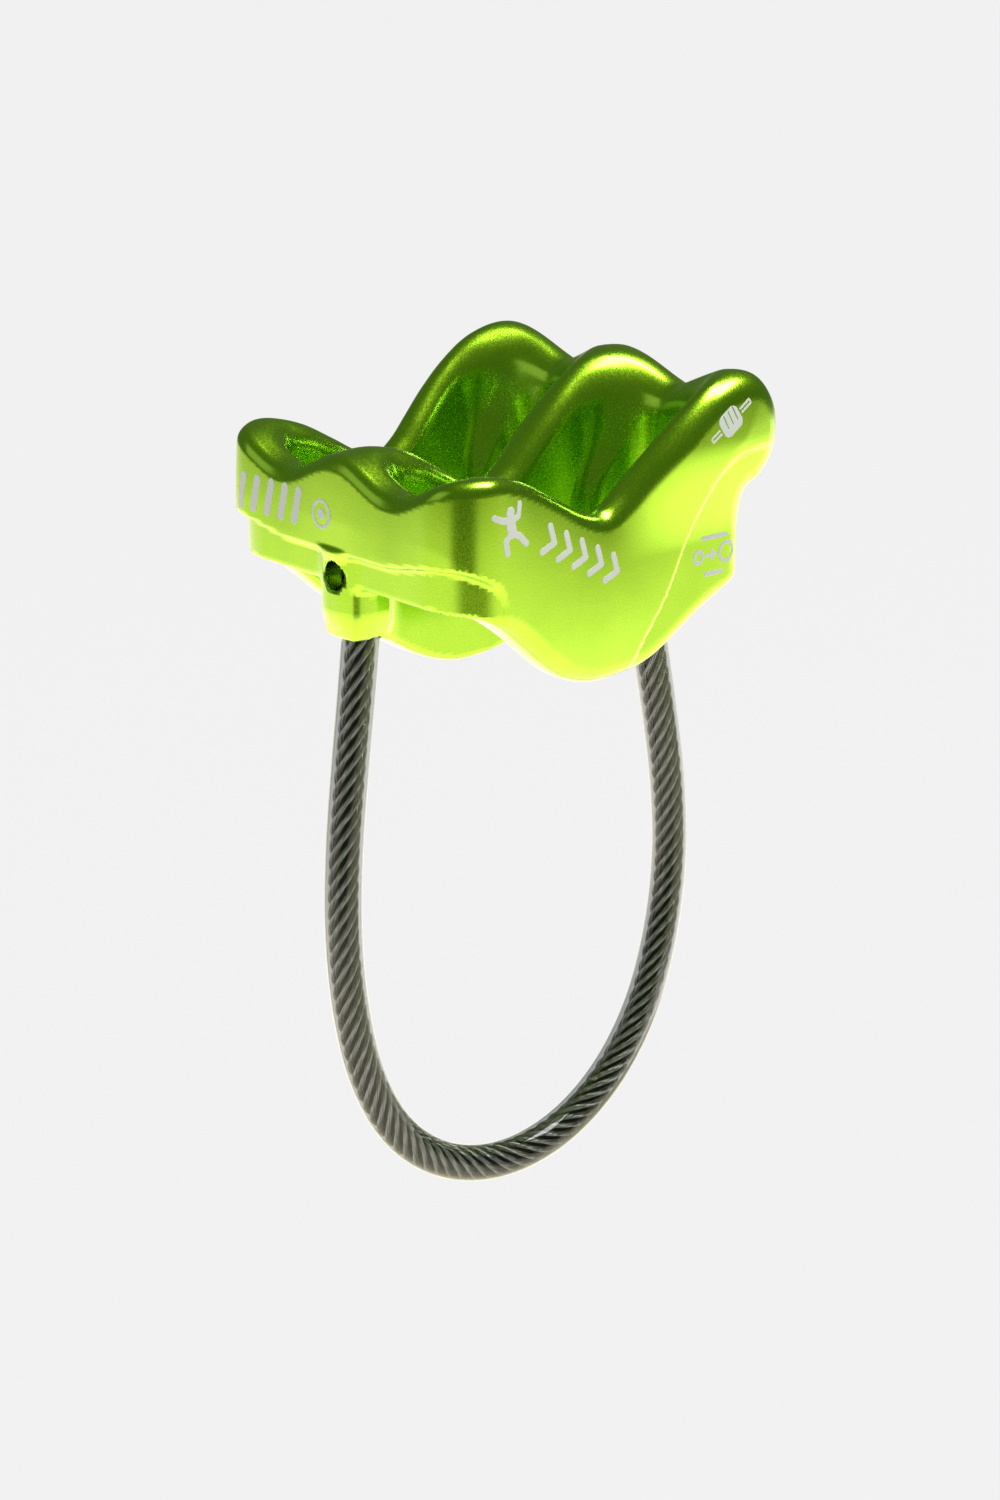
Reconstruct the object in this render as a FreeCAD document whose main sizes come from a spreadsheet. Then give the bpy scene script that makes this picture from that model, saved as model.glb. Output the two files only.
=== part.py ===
import FreeCAD, Part
import math
import os
import Sketcher
from FreeCAD import Placement, Rotation, Vector

# Frame: millimetres, +X across the two rope slots, +Y from the front wall to the rear wall, +Z up.
# Origin: the carabiner seat, in the mirror plane, under the lowest line of the three wall lobes.

DIMENSIONS = [
    ("half_width", 19.8, "outer face of an end wall from the mirror plane"),
    ("slot_inner", 2.5, "inner side of a rope slot, half the centre wall"),
    ("slot_outer", 15.0, "outer side of a rope slot"),
    ("slot_centre", 8.75, "middle of a rope slot"),
    ("front_face", 19.9, "front flange face, in front of the origin"),
    ("rear_face", 19.9, "rear wall face, behind the origin"),
    ("slot_front", 14.6, "front end of the slots, in front of the origin"),
    ("slot_rear_low", 11.0, "rear end of the slots at the cutter foot"),
    ("slot_rear_high", 15.2, "rear end of the slots at the cutter head"),
    ("cutter_foot", 4.0, "below the origin, where every slot cutter starts"),
    ("cutter_head", 34.0, "above the crowns, where the slot cutter ends"),
    ("front_underside", 9.7, "underside of the front wall"),
    ("rear_underside", 7.0, "underside of the rear wall"),
    ("flange_underside", 13.1, "lower edge of the front flange"),
    ("band_depth", 1.1, "how far the band sits behind the flange"),
    ("band_half", 16.4, "half the length of the recessed band"),
    ("groove_low", 4.6, "depth of the brake groove at its foot"),
    ("groove_low_half", 5.6, "half the width of the brake groove at its foot"),
    ("groove_mid", 3.4, "depth of the brake groove at its shoulder"),
    ("groove_mid_half", 4.3, "half the width of the brake groove at its shoulder"),
    ("groove_shoulder", 22.0, "height of the shoulder of the brake groove"),
    ("groove_top", 26.4, "height of the pointed top of the brake groove"),
    ("groove_tip", 0.3, "half the width left at the pointed top"),
    ("front_dip_radius", 8.5, "radius of the dips in the front rim"),
    ("front_dip_floor", 19.7, "lowest line of the dips in the front rim"),
    ("rear_dip_radius", 13.2, "radius of the dips in the rear rim"),
    ("rear_dip_floor", 27.4, "lowest line of the dips in the rear rim"),
    ("front_corner", 5.6, "plan radius of the front corners"),
    ("rear_corner", 4.6, "plan radius of the rear corners"),
    ("flare_reach", 24.4, "rearmost line of the crowns"),
    ("lug_half", 3.8, "half the width of a keeper lug"),
    ("lug_underside", 3.5, "mouth of the keeper bores"),
    ("front_lug_face", 19.6, "front lug face, in front of the origin"),
    ("rear_lug_face", 26.6, "rear lug face, behind the origin"),
    ("lug_edge", 1.5, "edge radius of the lugs"),
    ("bore", 4.4, "keeper bore diameter"),
    ("bore_depth", 10.6, "keeper bore depth above its mouth"),
    ("cross_bore", 3.05, "cross hole diameter"),
    ("cross_height", 10.7, "height of the cross hole axis"),
    ("cross_depth", 8.6, "cross hole depth from the lug face"),
    ("terminal", 4.3, "swaged terminal diameter"),
    ("terminal_length", 9.4, "swaged terminal length"),
    ("socket", 2.9, "rope socket diameter in a terminal"),
    ("socket_depth", 3.6, "rope socket depth in a terminal"),
    ("pin", 3.05, "retaining pin diameter"),
    ("pin_length", 5.8, "retaining pin length"),
    ("pin_recess", 2.6, "retaining pin depth behind the lug face"),
    ("pin_chamfer", 0.3, "retaining pin end chamfer"),
    ("sheath", 4.0, "keeper jacket outer diameter"),
    ("rope", 2.8, "wire rope diameter"),
]
VALUE = {name: value for name, value, _ in DIMENSIONS}

# Wall ridge from the foot of the front rounding, over the hump, the dip and the crown, to the flare root.
RIDGE = [
    (-19.9, 18.6), (-19.3, 21.2), (-17.3, 22.8), (-13.8, 23.2), (-9.8, 22.0), (-5.8, 19.6),
    (-2.4, 17.3), (0.5, 16.3), (2.8, 17.9), (5.0, 20.7), (7.7, 23.5), (10.5, 25.9),
    (13.2, 27.9), (15.8, 29.1), (18.2, 29.4), (20.7, 28.6), (22.5, 27.2), (23.8, 25.3),
    (24.4, 23.3), (24.0, 21.0), (23.0, 18.8), (21.6, 17.3), (20.4, 16.3), (19.9, 14.8),
]
RIDGE_ENDS = [(0.0, 1.0), (0.0, -1.0)]
# Lower edge of the end walls, front to rear.
END_LOBE = [
    (-18.4, 9.9), (-16.0, 9.3), (-13.3, 7.5), (-10.2, 4.6), (-7.2, 2.1), (-4.8, 0.95), (-2.5, 0.25),
    (0.0, 0.0), (2.2, 0.1), (4.4, 0.55), (6.6, 1.35), (9.1, 2.6), (11.6, 4.2), (14.2, 5.7), (17.4, 7.0),
]
# Lower edge of the centre wall, from the front lug to the rear lug.
CENTRE_LOBE = [
    (-15.6, 3.9), (-13.1, 2.4), (-10.3, 1.0), (-7.4, 0.2), (-4.5, 0.0), (-1.5, 0.1), (1.5, 0.6),
    (4.6, 1.5), (8.0, 2.6), (12.0, 3.4), (17.0, 3.7),
]
# Keeper centreline in the mirror plane, (Y, Z), without its two ends.
KEEPER_ROUTE = [
    (-16.58, -1.2), (-17.8, -10.6), (-18.76, -19.4), (-19.06, -28.47), (-18.27, -37.13), (-16.18, -45.88),
    (-11.93, -53.67), (-5.17, -59.2), (3.18, -61.65), (11.82, -60.53), (19.34, -56.1), (24.78, -48.99),
    (27.71, -40.36), (28.93, -31.38), (28.42, -22.32), (26.94, -13.63), (24.55, -2.2),
]
FRONT_MOUTH = Vector(0, -16.09, VALUE["lug_underside"])
REAR_MOUTH = Vector(0, 23.22, VALUE["lug_underside"])
FRONT_LEAN = 6.0
REAR_LEAN = -13.1
SHEATH_ENTRY = 0.7
ROPE_ENTRY = 4.2
TOUCH = 0.45
NEAR = 0.01

doc = FreeCAD.newDocument("belay_device")
os.makedirs("parts", exist_ok=True)

sheet = doc.addObject("Spreadsheet::Sheet", "dims")
for row, (name, value, note) in enumerate(DIMENSIONS, start=1):
    sheet.set(f"A{row}", name)
    sheet.set(f"B{row}", str(value))
    sheet.set(f"C{row}", note)
    sheet.setAlias(f"B{row}", name)
doc.recompute()


def signed(name):
    """A dimension's value and its sheet expression; a leading minus turns both round."""
    sign, alias = (-1, name[1:]) if name.startswith("-") else (1, name)
    return sign * VALUE[alias], f"{sign} * dims.{alias}"


def origin_plane(body, role):
    return next(f for f in body.Origin.OriginFeatures if f.Role == role)


def new_sketch(body, name, role, offset=0.0):
    sketch = body.newObject("Sketcher::SketchObject", name)
    sketch.AttachmentSupport = [(origin_plane(body, role), "")]
    sketch.MapMode = "FlatFace"
    sketch.AttachmentOffset = Placement(Vector(0, 0, offset), Rotation())
    return sketch


def hold(sketch, geometry, point, names):
    """Hold a point at dimensions of the sheet, measured from the sketch origin."""
    for kind, name in zip(("DistanceX", "DistanceY"), names):
        value, expression = signed(name)
        index = sketch.addConstraint(Sketcher.Constraint(kind, -1, 1, geometry, point, value))
        sketch.setExpression(f"Constraints[{index}]", expression)


def polygon(sketch, corners):
    """A closed polygon whose corners are pairs of dimension names."""
    points = [Vector(signed(a)[0], signed(b)[0], 0) for a, b in corners]
    count = len(points)
    lines = [
        sketch.addGeometry(Part.LineSegment(points[i], points[(i + 1) % count]), False) for i in range(count)
    ]
    for i, line in enumerate(lines):
        sketch.addConstraint(Sketcher.Constraint("Coincident", line, 2, lines[(i + 1) % count], 1))
        hold(sketch, line, 1, corners[i])
    return lines


def outline(sketch, curve, corners, tangents=()):
    """A spline through the curve's points, closed by straight lines through the corners; all fixed."""
    points = [Vector(a, b, 0) for a, b in curve]
    spline = Part.BSplineCurve()
    if tangents:
        start, end = (Vector(a, b, 0) for a, b in tangents)
        spline.interpolate(Points=points, InitialTangent=start, FinalTangent=end)
    else:
        spline.interpolate(points)
    chain = [points[-1]] + [Vector(a, b, 0) for a, b in corners] + [points[0]]
    shapes = [spline] + [Part.LineSegment(a, b) for a, b in zip(chain, chain[1:])]
    for shape in shapes:
        index = sketch.addGeometry(shape, False)
        sketch.addConstraint(Sketcher.Constraint("Block", index))


def circle(sketch, centre, radius_name):
    (x, x_text), (y, y_text) = centre
    radius, radius_text = signed(radius_name)
    index = sketch.addGeometry(Part.Circle(Vector(x, y, 0), Vector(0, 0, 1), radius), False)
    for kind, value, text in (("DistanceX", x, x_text), ("DistanceY", y, y_text)):
        at = sketch.addConstraint(Sketcher.Constraint(kind, -1, 1, index, 3, value))
        sketch.setExpression(f"Constraints[{at}]", text)
    at = sketch.addConstraint(Sketcher.Constraint("Radius", index, radius))
    sketch.setExpression(f"Constraints[{at}]", radius_text)


def feature(body, kind, name, sketch, **settings):
    made = body.newObject(kind, name)
    made.Profile = sketch
    for key, value in settings.items():
        if isinstance(value, str) and value.startswith("="):
            made.setExpression(key, value[1:])
        else:
            setattr(made, key, value)
    sketch.Visibility = False
    doc.recompute()
    return made


def mirrored(body, name, originals):
    made = body.newObject("PartDesign::Mirrored", name)
    made.Originals = originals
    made.MirrorPlane = (origin_plane(body, "YZ_Plane"), [""])
    body.Tip = made
    doc.recompute()
    return made


def wall_block(body):
    """The ridge outline over the full width, down to the undersides of the front and rear walls."""
    sketch = new_sketch(body, "ridge_outline", "YZ_Plane")
    front, rear = -VALUE["front_face"], VALUE["rear_face"]
    low_front, low_rear = VALUE["front_underside"], VALUE["rear_underside"]
    rear_round = 1.8
    corners = [
        (rear, low_rear + rear_round), (rear - rear_round, low_rear), (0.0, low_rear), (0.0, low_front),
        (front, low_front),
    ]
    outline(sketch, RIDGE, corners, RIDGE_ENDS)
    return feature(body, "PartDesign::Pad", "wall_block", sketch, Midplane=True, Length="=2 * dims.half_width")


def lobes(body):
    cap = 13.0
    end = new_sketch(body, "end_lobe_outline", "YZ_Plane")
    outline(end, END_LOBE, [(END_LOBE[-1][0], cap), (END_LOBE[0][0], cap)])
    end.setExpression("AttachmentOffset.Base.z", "dims.slot_outer")
    end_lobe = feature(
        body, "PartDesign::Pad", "end_lobe", end, Length="=dims.half_width - dims.slot_outer"
    )
    mirrored(body, "far_end_lobe", [end_lobe])
    centre = new_sketch(body, "centre_lobe_outline", "YZ_Plane")
    outline(centre, CENTRE_LOBE, [(CENTRE_LOBE[-1][0], cap), (CENTRE_LOBE[0][0], cap)])
    feature(body, "PartDesign::Pad", "centre_lobe", centre, Midplane=True, Length="=2 * dims.slot_inner")


def lugs(body):
    front = new_sketch(body, "front_lug_outline", "XY_Plane")
    polygon(front, [("-lug_half", "-front_lug_face"), ("lug_half", "-front_lug_face"),
                    ("lug_half", "-slot_front"), ("-lug_half", "-slot_front")])
    front.setExpression("AttachmentOffset.Base.z", "dims.lug_underside")
    feature(body, "PartDesign::Pad", "front_lug", front, Length="=dims.flange_underside - dims.lug_underside")
    rear = new_sketch(body, "rear_lug_outline", "YZ_Plane")
    reach, under, inside = VALUE["rear_lug_face"], VALUE["lug_underside"], 16.0
    draft, shoulder, top = 0.8, 12.6, 18.4
    points = [(inside, under), (reach, under), (reach - draft, shoulder), (reach - 3.2, top), (inside, top)]
    closed = [Vector(a, b, 0) for a, b in points + points[:1]]
    for a, b in zip(closed, closed[1:]):
        rear.addConstraint(Sketcher.Constraint("Block", rear.addGeometry(Part.LineSegment(a, b), False)))
    feature(body, "PartDesign::Pad", "rear_lug", rear, Midplane=True, Length="=2 * dims.lug_half")


def rounded(body, name, pick, radius_name):
    """Round every edge of the current solid that the test picks by its points."""
    base = body.Tip
    names = [f"Edge{i + 1}" for i, edge in enumerate(base.Shape.Edges) if pick(edge)]
    made = body.newObject("PartDesign::Fillet", name)
    made.Base = (base, names)
    made.setExpression("Radius", f"dims.{radius_name}")
    body.Tip = made
    doc.recompute()
    return made


def along(edge, count=5):
    """A few points spread along an edge."""
    first, last = edge.ParameterRange
    return [edge.valueAt(first + (last - first) * i / (count - 1)) for i in range(count)]


def on_lug_corner(edge):
    """The upright outer corners of both lugs."""
    on_side = all(abs(abs(p.x) - VALUE["lug_half"]) < NEAR for p in along(edge))
    outward = all(p.y < -VALUE["front_lug_face"] + NEAR or p.y > VALUE["rear_face"] + 1 for p in along(edge))
    upright = abs(along(edge)[0].z - along(edge)[-1].z) > 1
    steep = abs(along(edge)[0].y - along(edge)[-1].y) < 1
    return on_side and outward and upright and steep


def slot_loft(body):
    """One rope slot with its rear face leaning back."""
    sections = []
    for name, rear, height in (("slot_foot", "slot_rear_low", "-1 * dims.cutter_foot"),
                               ("slot_head", "slot_rear_high", "dims.cutter_head")):
        sketch = new_sketch(body, name, "XY_Plane")
        polygon(sketch, [("slot_inner", "-slot_front"), ("slot_outer", "-slot_front"),
                         ("slot_outer", rear), ("slot_inner", rear)])
        sketch.setExpression("AttachmentOffset.Base.z", height)
        sections.append(sketch)
    return loft(body, "rope_slot", sections)


def loft(body, name, sections):
    made = body.newObject("PartDesign::SubtractiveLoft", name)
    made.Profile = sections[0]
    made.Sections = sections[1:]
    made.Ruled = True
    for sketch in sections:
        sketch.Visibility = False
    doc.recompute()
    return made


def groove_loft(body):
    """The brake groove: a pointed arch in the rear face of the slot, deep at its foot."""
    centre = VALUE["slot_centre"]
    lean = (VALUE["slot_rear_high"] - VALUE["slot_rear_low"]) / (VALUE["cutter_head"] + VALUE["cutter_foot"])
    overlap = 1.5
    stations = (
        ("groove_foot", -VALUE["cutter_foot"], VALUE["groove_low_half"], VALUE["groove_low"]),
        ("groove_shoulder_section", VALUE["groove_shoulder"], VALUE["groove_mid_half"], VALUE["groove_mid"]),
        ("groove_top_section", VALUE["groove_top"], VALUE["groove_tip"], VALUE["groove_tip"]),
    )
    sections = []
    for name, height, half, depth in stations:
        sketch = new_sketch(body, name, "XY_Plane", height)
        face = VALUE["slot_rear_low"] + lean * (height + VALUE["cutter_foot"])
        ring = [(centre - half, face - overlap), (centre + half, face - overlap), (centre + half, face),
                (centre, face + depth), (centre - half, face)]
        closed = [Vector(a, b, 0) for a, b in ring + ring[:1]]
        for a, b in zip(closed, closed[1:]):
            sketch.addConstraint(Sketcher.Constraint("Block", sketch.addGeometry(Part.LineSegment(a, b), False)))
        sections.append(sketch)
    return loft(body, "brake_groove", sections)


def rim_dips(body):
    """Rounded dips across the front rim and shallower ones across the rear rim."""
    for name, level, radius, start, length in (
        ("front_dip", "front_dip_floor", "front_dip_radius", 26.0, 15.5),
        ("rear_dip", "rear_dip_floor", "rear_dip_radius", -9.0, 18.0),
    ):
        sketch = new_sketch(body, f"{name}_circle", "XZ_Plane", start)
        height = VALUE[level] + VALUE[radius]
        circle(sketch, (signed("slot_centre"), (height, f"dims.{level} + dims.{radius}")), radius)
        cut = feature(body, "PartDesign::Pocket", name, sketch, Length=length)
        mirrored(body, f"{name}_far", [cut])


def band(body):
    """The recessed band under the front flange, either side of the lug."""
    sketch = new_sketch(body, "band_outline", "XZ_Plane", VALUE["front_face"])
    polygon(sketch, [("lug_half", "front_underside"), ("band_half", "front_underside"),
                     ("band_half", "flange_underside"), ("lug_half", "flange_underside")])
    cut = feature(body, "PartDesign::Pocket", "recessed_band", sketch, Length="=dims.band_depth")
    mirrored(body, "recessed_band_far", [cut])


def plan_corners(body):
    """Everything outside the rounded plan outline is cut away, except around the rear lug."""
    half, front, rear = VALUE["half_width"], -VALUE["front_face"], VALUE["flare_reach"]
    r_front, r_rear, margin = VALUE["front_corner"], VALUE["rear_corner"], 4.0
    sketch = new_sketch(body, "plan_corner_outline", "XY_Plane", VALUE["cutter_head"])
    for corner_y, radius, side in ((front, r_front, 1), (rear, r_rear, -1)):
        centre = Vector(half - radius, corner_y + side * radius, 0)
        on_side = Vector(half, centre.y, 0)
        on_end = Vector(centre.x, corner_y, 0)
        middle = centre + Vector(radius, -side * radius, 0) * math.sqrt(0.5)
        far = Vector(half + margin, corner_y - side * margin, 0)
        ring = [on_end, Vector(on_end.x, far.y, 0), far, Vector(far.x, on_side.y, 0), on_side]
        shapes = [Part.LineSegment(a, b) for a, b in zip(ring, ring[1:])] + [Part.Arc(on_side, middle, on_end)]
        for shape in shapes:
            sketch.addConstraint(Sketcher.Constraint("Block", sketch.addGeometry(shape, False)))
    cut = feature(body, "PartDesign::Pocket", "plan_corners", sketch, Length=60.0)
    mirrored(body, "plan_corners_far", [cut])


def bores(body):
    """Keeper bores, leaning with the loop, and the cross holes for the pins."""
    for end, mouth, lean in (("front", FRONT_MOUTH, FRONT_LEAN), ("rear", REAR_MOUTH, REAR_LEAN)):
        start = 1.5
        bore = body.newObject("PartDesign::SubtractiveCylinder", f"{end}_keeper_bore")
        bore.setExpression("Radius", "dims.bore / 2")
        bore.Height = VALUE["bore_depth"] + start
        turn = Rotation(Vector(1, 0, 0), -lean)
        bore.Placement = Placement(mouth - turn.multVec(Vector(0, 0, start)), turn)
        doc.recompute()
        side = 1 if end == "front" else -1
        face = -VALUE["front_lug_face"] if end == "front" else VALUE["rear_lug_face"]
        cross = body.newObject("PartDesign::SubtractiveCylinder", f"{end}_cross_bore")
        cross.setExpression("Radius", "dims.cross_bore / 2")
        cross.Height = VALUE["cross_depth"] + start
        turn = Rotation(Vector(1, 0, 0), -90 * side)
        cross.Placement = Placement(Vector(0, face - side * start, VALUE["cross_height"]), turn)
        doc.recompute()


def make_forged_body():
    body = doc.addObject("PartDesign::Body", "forged_body")
    body.Label = "forged_body"
    wall_block(body)
    lobes(body)
    plan_corners(body)
    lugs(body)
    rounded(body, "lug_corners", on_lug_corner, "lug_edge")
    slot = slot_loft(body)
    mirrored(body, "rope_slot_far", [slot])
    groove = groove_loft(body)
    mirrored(body, "brake_groove_far", [groove])
    rim_dips(body)
    band(body)
    bores(body)
    return body


def unit(angle):
    """The upward direction of a bore that leans by this angle."""
    return Rotation(Vector(1, 0, 0), -angle).multVec(Vector(0, 0, 1))


def route_points(entry):
    """The keeper centreline, starting and ending this far above the bore mouths."""
    first = FRONT_MOUTH + unit(FRONT_LEAN) * entry
    last = REAR_MOUTH + unit(REAR_LEAN) * entry
    return [first] + [Vector(0, y, z) for y, z in KEEPER_ROUTE] + [last]


def route_wire(points, announce=False):
    """Straight runs joined by tangent arcs."""
    edges = []
    start = points[0]
    for before, corner, after in zip(points, points[1:], points[2:]):
        back, ahead = before - corner, after - corner
        reach = TOUCH * min(back.Length, ahead.Length)
        enter = corner + back.normalize() * reach
        leave = corner + ahead.normalize() * reach
        half_turn = (math.pi - back.getAngle(ahead)) / 2
        radius = reach / math.tan(half_turn)
        inward = (back + ahead).normalize()
        middle = corner + inward * (radius / math.cos(half_turn) - radius)
        edges.append(Part.LineSegment(start, enter).toShape())
        edges.append(Part.Arc(enter, middle, leave).toShape())
        if announce:
            print(f"route radius {radius:.1f} mm")
        start = leave
    edges.append(Part.LineSegment(start, points[-1]).toShape())
    return Part.Wire(edges)


def swept(name, points, diameter):
    """A rod along the route: a circle swept over the wire."""
    path = doc.addObject("Part::Feature", f"{name}_route")
    path.Shape = route_wire(points)
    ring = doc.addObject("Part::Circle", f"{name}_section")
    ring.setExpression("Radius", f"{diameter} / 2")
    ring.Placement = Placement(points[0], Rotation(Vector(0, 0, 1), points[1] - points[0]))
    rod = doc.addObject("Part::Sweep", name)
    rod.Sections = [ring]
    rod.Spine = (path, [f"Edge{i + 1}" for i in range(len(path.Shape.Edges))])
    rod.Solid = True
    rod.Frenet = False
    for helper in (path, ring):
        helper.Visibility = False
    doc.recompute()
    return rod


def make_wire_rope():
    rope = swept("wire_rope", route_points(ROPE_ENTRY), "dims.rope")
    rope.Label = "wire_rope"
    return rope


def make_keeper_sheath():
    points = route_points(SHEATH_ENTRY)
    outside = swept("sheath_outside", points, "dims.sheath")
    inside = swept("sheath_inside", points, "dims.rope")
    sheath = doc.addObject("Part::Cut", "keeper_sheath")
    sheath.Base = outside
    sheath.Tool = inside
    sheath.Label = "keeper_sheath"
    doc.recompute()
    return sheath


def make_terminal(name, mouth, lean):
    """A swaged terminal, made upright on its own origin and placed on the bore axis."""
    body = doc.addObject("PartDesign::Body", name)
    body.Label = name
    barrel = body.newObject("PartDesign::AdditiveCylinder", f"{name}_barrel")
    barrel.setExpression("Radius", "dims.terminal / 2")
    barrel.setExpression("Height", "dims.terminal_length")
    doc.recompute()
    socket = body.newObject("PartDesign::SubtractiveCylinder", f"{name}_socket")
    socket.setExpression("Radius", "dims.socket / 2")
    socket.setExpression("Height", "dims.socket_depth")
    doc.recompute()
    base = mouth + unit(lean) * SHEATH_ENTRY
    rise = (VALUE["cross_height"] - base.z) / math.cos(math.radians(lean))
    eye = body.newObject("PartDesign::SubtractiveCylinder", f"{name}_eye")
    eye.setExpression("Radius", "dims.pin / 2")
    eye.setExpression("Height", "3 * dims.terminal")
    tilt = Rotation(Vector(1, 0, 0), lean - 90)
    eye.Placement = Placement(Vector(0, 0, rise) - tilt.multVec(Vector(0, 0, 1.5 * VALUE["terminal"])), tilt)
    doc.recompute()
    body.Placement = Placement(base, Rotation(Vector(1, 0, 0), -lean))
    return body


def make_pin(name, face, inward):
    """A retaining pin with chamfered ends, made along +Z and laid into the cross hole."""
    body = doc.addObject("PartDesign::Body", name)
    body.Label = name
    rod = body.newObject("PartDesign::AdditiveCylinder", f"{name}_rod")
    rod.setExpression("Radius", "dims.pin / 2")
    rod.setExpression("Height", "dims.pin_length")
    doc.recompute()
    chamfer = body.newObject("PartDesign::Chamfer", f"{name}_chamfer")
    rims = [f"Edge{i + 1}" for i, e in enumerate(rod.Shape.Edges) if isinstance(e.Curve, Part.Circle)]
    chamfer.Base = (rod, rims)
    chamfer.setExpression("Size", "dims.pin_chamfer")
    doc.recompute()
    start = Vector(0, face + inward * VALUE["pin_recess"], VALUE["cross_height"])
    body.Placement = Placement(start, Rotation(Vector(1, 0, 0), -90 * inward))
    return body


parts = [
    make_forged_body(),
    make_wire_rope(),
    make_keeper_sheath(),
    make_terminal("front_terminal", FRONT_MOUTH, FRONT_LEAN),
    make_terminal("rear_terminal", REAR_MOUTH, REAR_LEAN),
    make_pin("front_pin", -VALUE["front_lug_face"], 1),
    make_pin("rear_pin", VALUE["rear_lug_face"], -1),
]
doc.recompute()

for item in doc.Objects:
    if {"Invalid", "Error"} & set(item.State):
        raise RuntimeError(f"{item.Name}: {item.State}")

for part in parts:
    shape = part.Shape
    if not shape.isValid() or len(shape.Solids) != 1:
        raise RuntimeError(f"{part.Label}: valid {shape.isValid()}, solids {len(shape.Solids)}")
    box = shape.optimalBoundingBox()
    print(f"{part.Label}: {shape.Volume:.1f} mm3, X {box.XMin:.2f}..{box.XMax:.2f}, "
          f"Y {box.YMin:.2f}..{box.YMax:.2f}, Z {box.ZMin:.2f}..{box.ZMax:.2f}")
    shape.exportStep(f"parts/{part.Label}.step")

length = route_wire(route_points(SHEATH_ENTRY), announce=True).Length
ring_area = math.pi * (VALUE["sheath"] ** 2 - VALUE["rope"] ** 2) / 4
print(f"keeper length {length:.1f} mm, jacket volume by section {ring_area * length:.1f} mm3")
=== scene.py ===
from math import cos, pi, radians, sin

import bpy
import numpy as np
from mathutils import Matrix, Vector


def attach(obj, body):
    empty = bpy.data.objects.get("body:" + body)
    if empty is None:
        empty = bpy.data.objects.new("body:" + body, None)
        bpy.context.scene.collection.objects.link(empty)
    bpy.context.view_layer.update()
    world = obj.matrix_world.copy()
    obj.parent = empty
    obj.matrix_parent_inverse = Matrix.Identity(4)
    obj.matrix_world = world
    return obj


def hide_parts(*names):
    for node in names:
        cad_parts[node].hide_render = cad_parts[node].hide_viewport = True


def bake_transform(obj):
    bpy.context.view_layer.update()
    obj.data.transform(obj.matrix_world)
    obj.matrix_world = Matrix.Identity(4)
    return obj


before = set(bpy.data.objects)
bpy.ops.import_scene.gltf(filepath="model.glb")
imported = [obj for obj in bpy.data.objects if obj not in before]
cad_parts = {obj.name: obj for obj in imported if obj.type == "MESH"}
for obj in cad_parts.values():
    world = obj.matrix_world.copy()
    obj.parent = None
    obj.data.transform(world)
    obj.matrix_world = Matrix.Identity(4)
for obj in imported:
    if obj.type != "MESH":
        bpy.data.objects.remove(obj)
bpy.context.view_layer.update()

# Lengths below are millimetres in the frame of the CAD model until a mesh is made, which is in metres.
MM = 0.001

# Walls and slots
HALF_WIDTH = 19.8
FRONT_FACE = -19.9
SLOT_INNER, SLOT_OUTER = 2.5, 15.0
SLOT_CENTRE = (SLOT_INNER + SLOT_OUTER) / 2
SLOT_FRONT = -14.6
SLOT_REAR_AT_ZERO = 11.44
SLOT_REAR_LEAN = 4.2 / 38.0
SLOT_FLARE, FLARE_START = 0.34, 15.0
SLOT_CORNER = 2.6
GROOVE_BACK, GROOVE_RADIUS = 17.1, 4.7
WALL_MIDDLE = 17.4
FRONT_UNDERSIDE, REAR_UNDERSIDE = 9.7, 7.0
FLANGE_UNDERSIDE = 13.1
RIM_ROUND, EDGE_ROUND = 2.7, 1.4
FRONT_CORNER = 5.6
CROWN_LEAN = 1.5
FACE_SWELL, SWELL_DEPTH = 0.9, 6.5
SKIRT, SKIRT_HEIGHT = 0.55, 5.0
BAND_DEPTH, BAND_CORNER, BAND_END = 1.15, 7.2, -13.4
CREASE_DEPTH, CREASE_EDGE = 1.0, 0.6
BAND_EDGE, GROOVE_EDGE = 0.4, 0.6
LOBE_EDGE, LOBE_FILLET = 0.6, 0.7
# Lugs, bores and holes
LUG_HALF, LUG_UNDERSIDE, LUG_FACE, LUG_BACK = 3.5, 3.8, -19.7, -14.45
LUG_CORNER, LUG_TOE, LUG_FILLET, REAR_LUG_FILLET = 3.1, 3.3, 0.9, 1.4
BORE_RADIUS, BORE_DEPTH, BORE_EDGE = 2.2, 10.6, 0.25
FRONT_MOUTH, FRONT_LEAN = (-16.09, 3.5), radians(6.0)
REAR_MOUTH, REAR_LEAN = (23.22, 3.5), radians(-13.1)
CROSS_RADIUS, CROSS_HEIGHT, CROSS_EDGE = 1.525, 10.7, 0.22
CROSS_FRONT_END, CROSS_REAR_END = -11.0, 18.0
# Thickness of the printed marks
PAINT = 0.035
# Keeper
SHEATH_RADIUS, ROPE_RADIUS = 2.0, 1.15
SHEATH_ENTRY, ROPE_ENTRY = 0.7, 4.2

# Wall ridge, (y, z), over the hump, the dip and the crown, round the flared rear lip and down the rear face.
RIDGE = [
    (-26.0, 21.9), (-20.5, 22.7), (-17.3, 23.1), (-13.8, 23.2), (-9.8, 22.1),
    (-5.8, 20.0), (-2.4, 18.1), (0.5, 17.3), (2.8, 18.6), (5.2, 20.9), (8.0, 23.5), (11.0, 26.0),
    (14.0, 28.0), (16.8, 29.0), (19.4, 29.3), (21.6, 28.8), (23.2, 27.4), (24.3, 25.4), (24.6, 23.2),
    (24.4, 20.8), (23.7, 18.8), (22.5, 17.3), (21.2, 16.6), (20.75, 15.5), (20.7, 11.5),
]
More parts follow.
